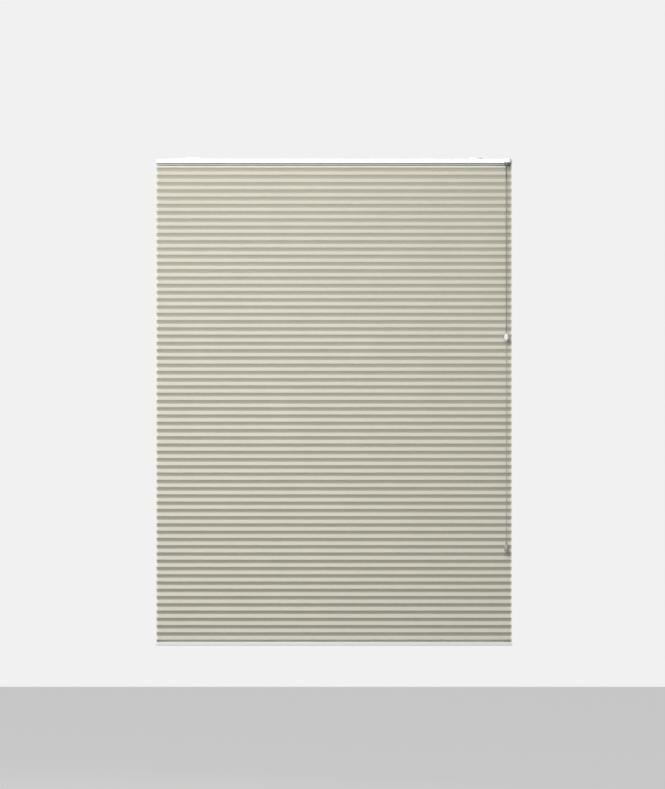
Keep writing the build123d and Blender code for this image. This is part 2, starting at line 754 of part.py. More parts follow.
# ---- sizes to read off -----------------------------------------------------------------------
print(f"height {-rail_bottom:.1f}, lift travel {lift_travel:.1f}, fabric {fabric_bottom - fabric_top:.1f}")
for volume, expected, length, radii in tube_volumes:
    print(f"cord {length:.1f} long, volume over section x length {volume / expected:.4f}, arcs {radii}")
print(f"roller at {roller_y:.2f}, {roller_z:.2f}; slope {roller_slope}")
print(f"pull cord {upper_knot_z - lower_knot_z:.1f}")
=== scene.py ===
"""Looks of a cellular pleated blind, lowered, with a front cord lock at its right end.

Metres. X runs along the width, -Y faces the room, +Z is up, and the origin is the centre of
the fixing holes, on top of the two brackets.
"""

import math

import bmesh
import bpy
from mathutils import Matrix, Vector, noise


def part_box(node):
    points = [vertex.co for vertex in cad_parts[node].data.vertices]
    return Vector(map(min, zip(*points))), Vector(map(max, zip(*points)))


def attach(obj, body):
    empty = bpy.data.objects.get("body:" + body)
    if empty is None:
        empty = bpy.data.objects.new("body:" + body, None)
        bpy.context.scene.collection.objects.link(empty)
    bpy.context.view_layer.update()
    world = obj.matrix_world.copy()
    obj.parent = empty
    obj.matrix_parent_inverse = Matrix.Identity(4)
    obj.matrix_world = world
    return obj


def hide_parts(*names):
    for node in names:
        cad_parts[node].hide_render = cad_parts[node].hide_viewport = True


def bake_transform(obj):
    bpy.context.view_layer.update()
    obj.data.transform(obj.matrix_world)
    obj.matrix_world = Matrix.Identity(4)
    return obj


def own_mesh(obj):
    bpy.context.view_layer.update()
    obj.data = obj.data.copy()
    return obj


MM = 0.001

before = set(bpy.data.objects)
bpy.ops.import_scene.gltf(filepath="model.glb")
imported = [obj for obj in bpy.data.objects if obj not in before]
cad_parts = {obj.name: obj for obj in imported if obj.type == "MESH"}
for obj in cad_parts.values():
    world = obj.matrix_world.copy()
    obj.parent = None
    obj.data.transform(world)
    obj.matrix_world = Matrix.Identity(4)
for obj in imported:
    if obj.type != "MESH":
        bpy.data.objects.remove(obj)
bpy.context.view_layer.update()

# ---- sizes of the blind ----------------------------------------------------------------------
CELL_COUNT = 66
CELL_PITCH = 20.0 * MM
WEB_HALF = 3.0 * MM
UPPER_FACE_RISE = 9.56 * MM
FIRST_FOLD_Z = -27.0 * MM
LAST_FOLD_Z = -1327.0 * MM
FABRIC_WALL = 0.3 * MM
FABRIC_HOLE_HALF = 2.5 * MM
LIFT_CORD_D = 1.0 * MM
PULL_CORD_D = 1.8 * MM
CORD_SIDES = 12
LOCK_SHADOW_Z = -48 * MM  # painted shadow of the lock on the lift cords, from here up to the lock
LOCK_SHADOW_FADE = 30 * MM
RIM_FROM = 0.3  # Layer Weight facing where the painted rim shade of the clear connector begins
RIM_TO = 0.75
CHANNEL_HEIGHT = 4.7 * MM  # of the channel under the headrail's box
# the painted highlight round the outlet eyelet
OUTLET_BAND_RISE = 2.9 * MM
OUTLET_BAND_HALF = 0.7 * MM
OUTLET_BAND_SOFT = 0.5 * MM
FIRST_FACE_PALE = 1.3 * MM  # the painted light ends this far above the first fold
LAST_FACE_PALE = 9.0 * MM  # and reaches this far below the last one
LAST_FACE_START = 0.5 * MM
PAINT_EDGE = 0.3 * MM

fabric_low, fabric_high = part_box("honeycomb_fabric")
fabric_half = fabric_high.x
fold_y = fabric_high.y
fold_depth = fold_y - WEB_HALF
cord_names = ("left", "middle", "right")
box_bottom_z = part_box("headrail")[0].z + CHANNEL_HEIGHT
guide_boxes = [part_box("cord_washer_" + name) for name in cord_names]
cord_xs = [(low.x + high.x) / 2 for low, high in guide_boxes]
washer_bottom_z = guide_boxes[0][0].z

connector_low, connector_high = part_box("connector_bottom")
connector_top_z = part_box("connector_top")[1].z
cord_x = (connector_low.x + connector_high.x) / 2
cord_y = (connector_low.y + connector_high.y) / 2


# ---- helpers for meshes ----------------------------------------------------------------------
def sharpen(mesh_bm, angle):
    """Smooth shading everywhere but over edges that turn by more than the angle."""
    for face in mesh_bm.faces:
        face.smooth = True
    for edge in mesh_bm.edges:
        if len(edge.link_faces) == 2 and edge.calc_face_angle(0.0) > angle:
            edge.smooth = False


def make_object(name, mesh_bm, material, crease=math.radians(35)):
    """Turn a finished bmesh into an object that sits at the origin."""
    sharpen(mesh_bm, crease)
    mesh = bpy.data.meshes.new(name)
    mesh_bm.to_mesh(mesh)
    mesh_bm.free()
    mesh.materials.append(material)
    piece = bpy.data.objects.new(name, mesh)
    bpy.context.scene.collection.objects.link(piece)
    return piece


def turned(outline, center, steps=48):
    """A bmesh turned about a vertical axis from (radius, height) points, closed at the end."""
    bm = bmesh.new()
    verts = [bm.verts.new((center[0] + r, center[1], z)) for r, z in outline]
    edges = [bm.edges.new(pair) for pair in zip(verts, verts[1:] + verts[:1])]
    bmesh.ops.spin(
        bm,
        geom=verts + edges,
        cent=(center[0], center[1], 0),
        axis=(0, 0, 1),
        angle=2 * math.pi,
        steps=steps,
        use_merge=True,
    )
    bmesh.ops.remove_doubles(bm, verts=bm.verts, dist=1e-7)
    bmesh.ops.recalc_face_normals(bm, faces=bm.faces)
    return bm


def bezier(points, count):
    """Points along a cubic curve, its first and last ones included."""
    a, b, c, d = (Vector(p) for p in points)
    line = []
    for i in range(count + 1):
        t = i / count
        s = 1 - t
        line.append(tuple(a * s**3 + b * 3 * s * s * t + c * 3 * s * t * t + d * t**3))
    return line


# ---- helpers for materials -------------------------------------------------------------------
def new_material(name, color, roughness, **settings):
    """A Principled material; returns it with its node tree, shader and Object coordinates."""
    material = bpy.data.materials.new(name)
    material.use_nodes = True
    tree = material.node_tree
    shader = tree.nodes["Principled BSDF"]
    shader.inputs["Base Color"].default_value = (*color, 1)
    shader.inputs["Roughness"].default_value = roughness
    for socket, value in settings.items():
        shader.inputs[socket.replace("_", " ")].default_value = value
    coords = tree.nodes.new("ShaderNodeTexCoord")
    return material, tree, shader, coords.outputs["Object"]


def parts_of(material):
    """A material's node tree, shader and Object coordinates."""
    tree = material.node_tree
    coords = next(n for n in tree.nodes if n.type == "TEX_COORD")
    return tree, tree.nodes["Principled BSDF"], coords.outputs["Object"]


def add_group(tree, group, **values):
    """Place a node group in a material, with its own values."""
    node = tree.nodes.new("ShaderNodeGroup")
    node.node_tree = group
    for socket, value in values.items():
        node.inputs[socket.replace("_", " ")].default_value = value
    return node


def start_group(name, inputs, outputs):
    """A new node group with float or vector inputs and named outputs."""
    group = bpy.data.node_groups.new(name, "ShaderNodeTree")
    for label, kind in inputs:
        group.interface.new_socket(name=label, in_out="INPUT", socket_type=kind)
    for label, kind in outputs:
        group.interface.new_socket(name=label, in_out="OUTPUT", socket_type=kind)
    entry = group.nodes.new("NodeGroupInput")
    end = group.nodes.new("NodeGroupOutput")
    return group, entry, end


FLOAT = "NodeSocketFloat"
COLOR = "NodeSocketColor"
VECTOR = "NodeSocketVector"


def math_node(tree, operation, a, b=None, clamp=False):
    """A Math node fed by sockets or numbers; returns its output."""
    node = tree.nodes.new("ShaderNodeMath")
    node.operation = operation
    node.use_clamp = clamp
    for socket, value in zip(node.inputs, (a, b)):
        if value is None:
            continue
        if isinstance(value, (int, float)):
            socket.default_value = value
        else:
            tree.links.new(value, socket)
    return node.outputs[0]


def tint_group():
    """Colour shifted lighter and darker by a soft mottle, and the mottle's own value."""
    group, entry, end = start_group(
        "soft_mottle",
        [("Vector", VECTOR), ("Color", COLOR), ("Scale", FLOAT), ("Amount", FLOAT)],
        [("Color", COLOR), ("Mask", FLOAT)],
    )
    clouds = group.nodes.new("ShaderNodeTexNoise")
    clouds.inputs["Detail"].default_value = 4
    group.links.new(entry.outputs["Vector"], clouds.inputs["Vector"])
    group.links.new(entry.outputs["Scale"], clouds.inputs["Scale"])
    centred = math_node(group, "SUBTRACT", clouds.outputs["Fac"], 0.5)
    scaled = math_node(group, "MULTIPLY", centred, entry.outputs["Amount"])
    level = math_node(group, "ADD", scaled, 1.0)
    tint = group.nodes.new("ShaderNodeVectorMath")
    tint.operation = "SCALE"
    group.links.new(entry.outputs["Color"], tint.inputs[0])
    group.links.new(level, tint.inputs["Scale"])
    group.links.new(tint.outputs[0], end.inputs["Color"])
    group.links.new(clouds.outputs["Fac"], end.inputs["Mask"])
    return group


def fibre_group():
    """Height of a felt of long fibres laid mostly along X."""
    group, entry, end = start_group(
        "fibre_felt",
        [("Vector", VECTOR), ("Scale", FLOAT)],
        [("Height", FLOAT)],
    )
    total = None
    for stretch, turn in ((0.12, 0.0), (0.18, 0.5), (0.18, -0.6)):
        place = group.nodes.new("ShaderNodeMapping")
        place.inputs["Rotation"].default_value = (0, turn, 0)
        place.inputs["Scale"].default_value = (stretch, 1, 1)
        strands = group.nodes.new("ShaderNodeTexNoise")
        strands.inputs["Detail"].default_value = 3
        strands.inputs["Distortion"].default_value = 0.4
        group.links.new(entry.outputs["Vector"], place.inputs["Vector"])
        group.links.new(place.outputs["Vector"], strands.inputs["Vector"])
        group.links.new(entry.outputs["Scale"], strands.inputs["Scale"])
        if total is None:
            total = strands.outputs["Fac"]
        else:
            total = math_node(group, "ADD", total, strands.outputs["Fac"])
    group.links.new(math_node(group, "MULTIPLY", total, 1 / 3), end.inputs["Height"])
    return group


def braid_group():
    """Height of a fine round braid on a cord that hangs along Z."""
    group, entry, end = start_group(
        "fine_braid",
        [("Vector", VECTOR), ("Scale", FLOAT)],
        [("Height", FLOAT)],
    )
    crossed = None
    for turn in (0.7, -0.7):
        place = group.nodes.new("ShaderNodeMapping")
        place.inputs["Rotation"].default_value = (0, turn, 0)
        strand = group.nodes.new("ShaderNodeTexWave")
        strand.wave_type = "BANDS"
        strand.bands_direction = "Z"
        group.links.new(entry.outputs["Vector"], place.inputs["Vector"])
        group.links.new(place.outputs["Vector"], strand.inputs["Vector"])
        group.links.new(entry.outputs["Scale"], strand.inputs["Scale"])
        if crossed is None:
            crossed = strand.outputs["Fac"]
        else:
            crossed = math_node(group, "MAXIMUM", crossed, strand.outputs["Fac"])
    group.links.new(crossed, end.inputs["Height"])
    return group


SOFT_MOTTLE = tint_group()
FIBRE_FELT = fibre_group()
FINE_BRAID = braid_group()


def bump_from(tree, shader, height, distance, strength):
    """Feed a height into the shader's Normal."""
    bump = tree.nodes.new("ShaderNodeBump")
    bump.inputs["Distance"].default_value = distance
    bump.inputs["Strength"].default_value = strength
    tree.links.new(height, bump.inputs["Height"])
    tree.links.new(bump.outputs["Normal"], shader.inputs["Normal"])


def mottle_material(name, color, roughness, scale, amount, grain, grain_depth, **settings):
    """Painted or moulded surface: a soft mottle in its colour, a fine grain in its relief."""
    material, tree, shader, where = new_material(name, color, roughness, **settings)
    mottle = add_group(tree, SOFT_MOTTLE, Color=(*color, 1), Scale=scale, Amount=amount)
    tree.links.new(where, mottle.inputs["Vector"])
    tree.links.new(mottle.outputs["Color"], shader.inputs["Base Color"])
    relief = tree.nodes.new("ShaderNodeTexNoise")
    relief.inputs["Scale"].default_value = grain
    relief.inputs["Detail"].default_value = 2
    tree.links.new(where, relief.inputs["Vector"])
    bump_from(tree, shader, relief.outputs["Fac"], grain_depth, 0.5)
    rough = math_node(tree, "MULTIPLY", mottle.outputs["Mask"], 0.16)
    rough = math_node(tree, "ADD", rough, roughness - 0.08)
    tree.links.new(rough, shader.inputs["Roughness"])
    return material


# ---- materials -------------------------------------------------------------------------------
def cellular_fabric():
    """Cream fibrous fabric, with painted light that makes its cut ends a little lighter."""
    color = (0.555, 0.537, 0.472)
    material, tree, shader, where = new_material(
        "cellular_fabric", color, 0.88, Sheen_Weight=0.15, Sheen_Roughness=0.6
    )
    mottle = add_group(tree, SOFT_MOTTLE, Color=(*color, 1), Scale=9.0, Amount=0.07)
    tree.links.new(where, mottle.inputs["Vector"])
    fibres = add_group(tree, FIBRE_FELT, Scale=700.0)
    tree.links.new(where, fibres.inputs["Vector"])
    # fibres show as faint lighter and darker threads
    thread = math_node(tree, "MULTIPLY", fibres.outputs["Height"], 0.22)
    thread = math_node(tree, "ADD", thread, 0.89)
    threads = tree.nodes.new("ShaderNodeVectorMath")
    threads.operation = "SCALE"
    tree.links.new(mottle.outputs["Color"], threads.inputs[0])
    tree.links.new(thread, threads.inputs["Scale"])
    # painted light: a lighter band at each cut end
    split = tree.nodes.new("ShaderNodeSeparateXYZ")
    tree.links.new(where, split.inputs["Vector"])
    ends = tree.nodes.new("ShaderNodeMapRange")
    ends.interpolation_type = "SMOOTHSTEP"
    ends.inputs["From Min"].default_value = fabric_half - 5.5 * MM
    ends.inputs["From Max"].default_value = fabric_half - 2.5 * MM
    tree.links.new(math_node(tree, "ABSOLUTE", split.outputs["X"]), ends.inputs["Value"])
    blend = tree.nodes.new("ShaderNodeMix")
    blend.data_type = "RGBA"
    blend.inputs["B"].default_value = (0.68, 0.66, 0.575, 1)
    tree.links.new(ends.outputs["Result"], blend.inputs["Factor"])
    tree.links.new(threads.outputs[0], blend.inputs["A"])
    # painted shade: the lower face of each cell is painted a little darker and yellower
    below = math_node(tree, "SUBTRACT", FIRST_FOLD_Z, split.outputs["Z"])
    below = math_node(tree, "DIVIDE", below, CELL_PITCH)
    below = math_node(tree, "FRACT", below, 0)
    lower_face_shade = math_node(tree, "LESS_THAN", below, 1 - UPPER_FACE_RISE / CELL_PITCH)
    tint = tree.nodes.new("ShaderNodeMix")
    tint.data_type = "RGBA"
    tint.blend_type = "MULTIPLY"
    tint.inputs["B"].default_value = (0.88, 0.87, 0.80, 1)
    tree.links.new(lower_face_shade, tint.inputs["Factor"])
    tree.links.new(blend.outputs["Result"], tint.inputs["A"])
    tree.links.new(tint.outputs["Result"], shader.inputs["Base Color"])
    # painted light: the first and last faces are painted paler, to offset the shade of the two
    # rails
    first = banded(tree, where, FIRST_FOLD_Z + FIRST_FACE_PALE, 0.0, PAINT_EDGE)
    last_span = (LAST_FOLD_Z - LAST_FACE_PALE, LAST_FOLD_Z - LAST_FACE_START)
    last = banded(tree, where, *last_span, PAINT_EDGE)
    two_tone(tree, shader, first, (0.82, 0.80, 0.73))
    two_tone(tree, shader, last, (0.62, 0.60, 0.54))
    bump_from(tree, shader, fibres.outputs["Height"], 0.15 * MM, 0.5)
    return material


def cord_material(name, color, scale):
    """Braided polyester cord, with painted shade between its strands."""
    material, tree, shader, where = new_material(
        name, color, 0.75, Sheen_Weight=0.2, Sheen_Roughness=0.5
    )
    braid = add_group(tree, FINE_BRAID, Scale=scale)
    tree.links.new(where, braid.inputs["Vector"])
    # painted shade: the braid's colour is darker in the grooves between its strands
    shade = math_node(tree, "MULTIPLY", braid.outputs["Height"], 0.35)
    shade = math_node(tree, "ADD", shade, 0.7)
    strands = tree.nodes.new("ShaderNodeVectorMath")
    strands.operation = "SCALE"
    strands.inputs[0].default_value = color
    tree.links.new(shade, strands.inputs["Scale"])
    tree.links.new(strands.outputs[0], shader.inputs["Base Color"])
    bump_from(tree, shader, braid.outputs["Height"], 0.12 * MM, 0.7)
    return material


def banded(tree, where, low, high, soft, axis="Z"):
    """Mask that is 1 between two places on an axis and fades out over a soft distance."""
    split = tree.nodes.new("ShaderNodeSeparateXYZ")
    tree.links.new(where, split.inputs["Vector"])
    edges = []
    for start, end in ((low - soft, low), (high + soft, high)):
        edge = tree.nodes.new("ShaderNodeMapRange")
        edge.interpolation_type = "SMOOTHSTEP"
        edge.inputs["From Min"].default_value = start
        edge.inputs["From Max"].default_value = end
        tree.links.new(split.outputs[axis], edge.inputs["Value"])
        edges.append(edge.outputs["Result"])
    return math_node(tree, "MINIMUM", *edges)


def two_tone(tree, shader, mask, inside):
    """Put a second colour over the shader's colour where the mask is 1."""
    mix = tree.nodes.new("ShaderNodeMix")
    mix.data_type = "RGBA"
    mix.inputs["B"].default_value = (*inside, 1)
    tree.links.new(mask, mix.inputs["Factor"])
    tree.links.new(shader.inputs["Base Color"].links[0].from_socket, mix.inputs["A"])
    tree.links.new(mix.outputs["Result"], shader.inputs["Base Color"])


def rail_paint_and_channel_shade(name, color, channel_top):
    """White paint on the box, with painted shade: a darker grey in the channel under it and on the
    box's underside.
    """
    material = mottle_material(name, color, 0.32, 6.0, 0.03, 1400.0, 0.02 * MM)
    tree, shader, where = parts_of(material)
    # painted shade in the channel and on the underside of the box
    mask = banded(tree, where, channel_top - 6 * MM, channel_top + 0.1 * MM, 0.1 * MM)
    two_tone(tree, shader, mask, (0.36, 0.37, 0.36))
    return material


def outlet_plastic():
    """Dark moulded eyelet with a painted highlight, a paler band round its middle."""
    material = mottle_material(
        "outlet_plastic", (0.02, 0.021, 0.019), 0.3, 30.0, 0.05, 1800.0, 0.02 * MM
    )
    tree, shader, where = parts_of(material)
    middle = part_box("cord_outlet")[0].z + OUTLET_BAND_RISE
    band = (middle - OUTLET_BAND_HALF, middle + OUTLET_BAND_HALF)
    # painted highlight: a paler band round the eyelet's middle
    mask = banded(tree, where, *band, OUTLET_BAND_SOFT)
    two_tone(tree, shader, mask, (0.24, 0.25, 0.23))
    return material


FABRIC = cellular_fabric()
LIFT_CORD = cord_material("lift_cord_braid", (0.30, 0.28, 0.22), 500.0)
tree, shader, where = parts_of(LIFT_CORD)
# painted shadow: the lift cords are darker near the lock
lock_shadow = banded(tree, where, LOCK_SHADOW_Z, 0.0, LOCK_SHADOW_FADE)
two_tone(tree, shader, lock_shadow, (0.10, 0.09, 0.07))
PULL_CORD = cord_material("pull_cord_braid", (0.38, 0.36, 0.29), 320.0)
HEADRAIL_PAINT_AND_SHADE = rail_paint_and_channel_shade("headrail_powder_coat_and_shade", (0.90, 0.92, 0.94), box_bottom_z)
RAIL_PAINT = mottle_material(
    "bottom_rail_powder_coat", (0.77, 0.79, 0.77), 0.36, 6.0, 0.04, 1400.0, 0.02 * MM
)
CAP_PLASTIC = mottle_material(
    "end_cap_plastic", (0.80, 0.81, 0.81), 0.4, 40.0, 0.05, 2200.0, 0.02 * MM
)
LOCK_PLASTIC = mottle_material(
    "lock_plastic", (0.93, 0.94, 0.93), 0.26, 30.0, 0.02, 1800.0, 0.01 * MM
)
STRIP_PLASTIC = mottle_material(
    "strip_plastic", (0.70, 0.70, 0.66), 0.5, 20.0, 0.04, 1500.0, 0.02 * MM
)
OUTLET_PLASTIC = outlet_plastic()
CONNECTOR_PLASTIC = mottle_material(
    "clear_connector_plastic",
    (0.97, 0.97, 0.94),
    0.1,
    60.0,
    0.04,
    1500.0,
    0.01 * MM,
    Transmission_Weight=0.15,
    IOR=1.49,
    Coat_Weight=0.6,
    Coat_Roughness=0.05,
)
TASSEL_PLASTIC = mottle_material(
    "tassel_plastic", (0.36, 0.34, 0.28), 0.2, 60.0, 0.05, 1500.0, 0.01 * MM
)
LEVER_PLASTIC = mottle_material(
    "lever_plastic", (0.74, 0.74, 0.71), 0.4, 30.0, 0.04, 1800.0, 0.02 * MM
)
BRACKET_STEEL = mottle_material(
    "bracket_zinc", (0.58, 0.58, 0.57), 0.38, 90.0, 0.16, 900.0, 0.02 * MM, Metallic=0.85
)
PIN_STEEL = mottle_material(
    "turned_steel", (0.60, 0.59, 0.57), 0.28, 300.0, 0.1, 2400.0, 0.01 * MM, Metallic=1.0
)

# ---- camera ----------------------------------------------------------------------------------
CAMERA_DISTANCE = 7.3
CAMERA_X = -0.0043
CAMERA_Z = -0.6519
VIEW_HEIGHT = 2.1718  # over the frame, at the blind
SENSOR = 36.0
BLIND_FACE_Y = -15 * MM

camera_data = bpy.data.cameras.new("camera")
camera_data.sensor_width = SENSOR
camera_data.lens = SENSOR * CAMERA_DISTANCE / VIEW_HEIGHT
camera = bpy.data.objects.new("camera", camera_data)
camera.location = (CAMERA_X, BLIND_FACE_Y - CAMERA_DISTANCE, CAMERA_Z)
camera.rotation_euler = (math.pi / 2, 0, 0)
bpy.context.scene.collection.objects.link(camera)
bpy.context.scene.camera = camera


# ---- cords -----------------------------------------------------------------------------------
def route_curve(name, points):
    """A smooth open spline whose control points are the route's points."""
    data = bpy.data.curves.new(name, "CURVE")
    data.dimensions = "3D"
    spline = data.splines.new("NURBS")
    spline.points.add(len(points) - 1)
    for point, place in zip(spline.points, points):
        point.co = (*place, 1)
    spline.order_u = 3
    spline.use_endpoint_u = True
    spline.resolution_u = 8
    return data


def cord_line(name, points):
    """The points that the route's spline passes through."""
    data = route_curve(name, points)
    bare = bpy.data.objects.new(name, data)
    mesh = bpy.data.meshes.new_from_object(bare)
    line = [v.co.copy() for v in mesh.vertices]
    bpy.data.meshes.remove(mesh)
    bpy.data.objects.remove(bare)
    bpy.data.curves.remove(data)
    return line


def cord_tube(name, points, diameter, material):
    """A mesh tube round the route's spline, and the line that it follows."""
    data = route_curve(name + "_route", points)
    data.bevel_depth = diameter / 2
    data.bevel_resolution = CORD_SIDES // 4 - 1
    data.use_fill_caps = True
    solid = bpy.data.objects.new(name + "_route", data)
    mesh = bpy.data.meshes.new_from_object(solid)
    bpy.data.objects.remove(solid)
    bpy.data.curves.remove(data)
    bm = bmesh.new()
    bm.from_mesh(mesh)
    bpy.data.meshes.remove(mesh)
    bmesh.ops.remove_doubles(bm, verts=bm.verts, dist=1e-7)
    bmesh.ops.recalc_face_normals(bm, faces=bm.faces)
    return make_object(name, bm, material, math.radians(60)), cord_line(name, points)


EXIT_X = cord_x
EXIT_Y = cord_y
EXIT_Z = -9.4 * MM
TAIL_PITCH = 1.6 * MM
ENTRY_PITCH = 1.15 * MM
LANE_TOP_Z = -7.0 * MM
LANE_PITCH = 1.6 * MM
STRAIGHT_FROM = 6 * MM  # a hanging cord is straight from here below the pin
TAIL_END_Z = connector_top_z - 9.0 * MM
KNOT_R = 1.9 * MM
KNOT_FLAT = 0.85
KNOT_DROP = 0.9 * KNOT_R  # its middle is this far below the washer

for index, name in enumerate(cord_names):
    tail_x = EXIT_X + (index - 1) * TAIL_PITCH
    entry_x = EXIT_X + (index - 1) * ENTRY_PITCH
    lane_z = LANE_TOP_Z - index * LANE_PITCH
    split = ((EXIT_X + tail_x) / 2, EXIT_Y / 2, (lane_z + EXIT_Z) / 2)
    route = [
        split,
        (tail_x, EXIT_Y, EXIT_Z),
        (tail_x, EXIT_Y, EXIT_Z - STRAIGHT_FROM),
        (entry_x, EXIT_Y, TAIL_END_Z + STRAIGHT_FROM),
        (entry_x, EXIT_Y, TAIL_END_Z),
    ]
    cord, line = cord_tube("lift_cord_hanging_" + name, route, LIFT_CORD_D, LIFT_CORD)
    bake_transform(cord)
    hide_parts("hanging_cord_" + name)

    # the stretch in the headrail, then the stretch in the fabric, both riding the headrail
    rise = lane_z - fabric_high.z
    rail_route = [
        (cord_xs[index], 0, fabric_high.z),
        (cord_xs[index], 0, lane_z),
        (cord_xs[index] + rise, 0, lane_z),
        (EXIT_X + EXIT_Y / 2, 0, lane_z),
        (EXIT_X, 0, lane_z),
        split,
    ]
    in_rail, _ = cord_tube("lift_cord_in_headrail_" + name, rail_route, LIFT_CORD_D, LIFT_CORD)
    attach(in_rail, "headrail")
    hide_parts("lift_cord_" + name)
    knot_top_z = washer_bottom_z
    in_fabric, _ = cord_tube(
        "lift_cord_in_fabric_" + name,
        [(cord_xs[index], 0, fabric_high.z), (cord_xs[index], 0, knot_top_z)],
        LIFT_CORD_D,
        LIFT_CORD,
    )
    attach(in_fabric, "headrail")
    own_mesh(in_fabric)
    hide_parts("lift_cord_" + name)

    # knot under the washer
    bm = bmesh.new()
    bmesh.ops.create_icosphere(bm, subdivisions=3, radius=KNOT_R)
    bmesh.ops.scale(bm, verts=bm.verts, vec=(1, 1, KNOT_FLAT))
    bmesh.ops.translate(bm, verts=bm.verts, vec=(cord_xs[index], 0, knot_top_z - KNOT_DROP))
    knot = make_object("lift_cord_knot_" + name, bm, LIFT_CORD)
    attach(knot, "bottom_rail")


# ---- connector, pull cord and tassel ---------------------------------------------------------
def connector_rim_shade():
    """Painted shade on the clear connector: its colour darkens towards the rim, from any side."""
    tree, shader, _ = parts_of(CONNECTOR_PLASTIC)
    facing = tree.nodes.new("ShaderNodeLayerWeight")
    rim = tree.nodes.new("ShaderNodeMapRange")
    rim.interpolation_type = "SMOOTHSTEP"
    rim.inputs["From Min"].default_value = RIM_FROM
    rim.inputs["From Max"].default_value = RIM_TO
    tree.links.new(facing.outputs["Facing"], rim.inputs["Value"])
    two_tone(tree, shader, rim.outputs["Result"], (0.12, 0.12, 0.10))


def connector_pieces():
    """The bell-shaped cap and the rounded cup under it, with a fine seam between them."""
    top = connector_top_z
    seam = connector_high.z - 2.4 * MM
    foot = connector_low.z
    radius = connector_high.x - cord_x
    shoulder = (top - seam) / 2
    belly = (seam - foot) / 2
    neck = 3.2 * MM
    bore = 2.3 * MM
    wall = 1.4 * MM
    chamfer = 0.25 * MM
    cord_hole = 1.1 * MM
    hollow = 4.8 * MM
    collar = 6.05 * MM
    collar_height = 2.4 * MM
    cap_outline = bezier(
        [
            (neck, top),
            (neck + MM, top - shoulder),
            (radius, top - shoulder),
            (radius, seam + 0.2 * MM),
        ],
        12,
    )
    cap_outline += [
        (radius - chamfer, seam),
        (radius - wall, seam),
        (radius - wall, seam + 2.6 * MM),
        (bore, top - 2.8 * MM),
        (bore, top - 0.3 * MM),
        (bore + 0.4 * MM, top),
    ]
    cap = make_object("connector_cap", turned(cap_outline, (cord_x, cord_y)), CONNECTOR_PLASTIC)
    cup_outline = bezier(
        [
            (radius, seam - chamfer),
            (radius, seam - belly * 1.3),
            (5.0 * MM, foot + belly * 0.3),
            (3.0 * MM, foot),
        ],
        14,
    )
    cup_outline += [
        (cord_hole, foot),
        (cord_hole, foot + 2.8 * MM),
        (3.4 * MM, foot + 3.5 * MM),
        (hollow, seam),
        (hollow, seam + collar_height),
        (collar, seam + collar_height),
        (collar, seam),
        (radius - chamfer, seam),
    ]
    cup = make_object("connector_cup", turned(cup_outline, (cord_x, cord_y)), CONNECTOR_PLASTIC)
    for piece, node in ((cap, "connector_top"), (cup, "connector_bottom")):
        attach(piece, "pull")
        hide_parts(node)
    return cap, cup


def tassel_piece():
    """Hollow teardrop tassel with a rounded lip."""
    low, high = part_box("tassel")
    height = high.z - low.z
    radius = 6.1 * MM
    hollow = 3.4 * MM
    roof_z = low.z + 9.0 * MM
    cord_hole = 1.1 * MM
    outline = bezier(
        [
            (2.3 * MM, high.z - 0.3 * MM),
            (2.8 * MM, high.z - height * 0.4),
            (radius, high.z - height * 0.5),
            (radius, high.z - height * 0.75),
        ],
        14,
    )
    outline += bezier(
        [
            (radius, high.z - height * 0.75),
            (radius, low.z + height * 0.1),
            (radius * 0.8, low.z),
            (4.0 * MM, low.z),
        ],
        10,
    )[1:]
    outline += [
        (hollow, low.z + 0.6 * MM),
        (hollow, roof_z),
        (cord_hole, roof_z),
        (cord_hole, high.z - 0.4 * MM),
        (1.6 * MM, high.z),
        (2.0 * MM, high.z),
    ]
    tassel = make_object("tassel_drop", turned(outline, (cord_x, cord_y)), TASSEL_PLASTIC)
    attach(tassel, "pull")
    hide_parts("tassel")
    return tassel


connector_rim_shade()
cap, cup = connector_pieces()
tassel = tassel_piece()
pull_low, pull_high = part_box("pull_cord")
KNOT_D = 4.4 * MM
PULL_STRAIGHT = 12 * MM
pull_top = pull_high.z - KNOT_D / 2
pull_bottom = pull_low.z + KNOT_D / 2
pull_route = [
    (cord_x, cord_y, pull_top),
    (cord_x, cord_y, pull_top - PULL_STRAIGHT),
    (cord_x, cord_y, pull_bottom + PULL_STRAIGHT),
    (cord_x, cord_y, pull_bottom),
]
pull_cord, pull_line = cord_tube("pull_cord_braided", pull_route, PULL_CORD_D, PULL_CORD)
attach(pull_cord, "pull")
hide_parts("pull_cord")
for index, z in enumerate((pull_top, pull_bottom)):
    bm = bmesh.new()
    bmesh.ops.create_icosphere(bm, subdivisions=3, radius=KNOT_D / 2)
    bmesh.ops.translate(bm, verts=bm.verts, vec=(cord_x, cord_y, z))
    knot = make_object(("pull_cord_knot_top", "pull_cord_knot_bottom")[index], bm, PULL_CORD)
    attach(knot, "pull")


# ---- headrail, bottom rail and strips --------------------------------------------------------
HEADRAIL_WALL = 1.3 * MM
HEADRAIL_SLOT_HALF = 12.5 * MM
HEADRAIL_CORNER = 1.6 * MM
CHANNEL_HALF = 12.4 * MM
CHANNEL_WALL = 1.2 * MM
CHANNEL_SLOT_HALF = 9.4 * MM
WINDOW_BOTTOM_Z = box_bottom_z + HEADRAIL_CORNER + 0.1 * MM
NOSE_HALF = 7.75 * MM
NOSE_RIGHT_X = 481.1 * MM
WINDOW_BACK = 15.7 * MM
WINDOW_GAP = 0.3 * MM
CAP_EDGE = 1.2 * MM
CAP_SEAM = 0.4 * MM
RAIL_WALL = 1.2 * MM
RAIL_SLOT_HALF = 9.0 * MM
RAIL_CORNER = 1.4 * MM
RAIL_NOTCH_HALF = 5.0 * MM
ROUND_STEPS = 5
TOP_STRIP_HALF = 10.9 * MM
BOTTOM_STRIP_HALF = 13.0 * MM
FAR = 9.0  # beyond every part of the blind


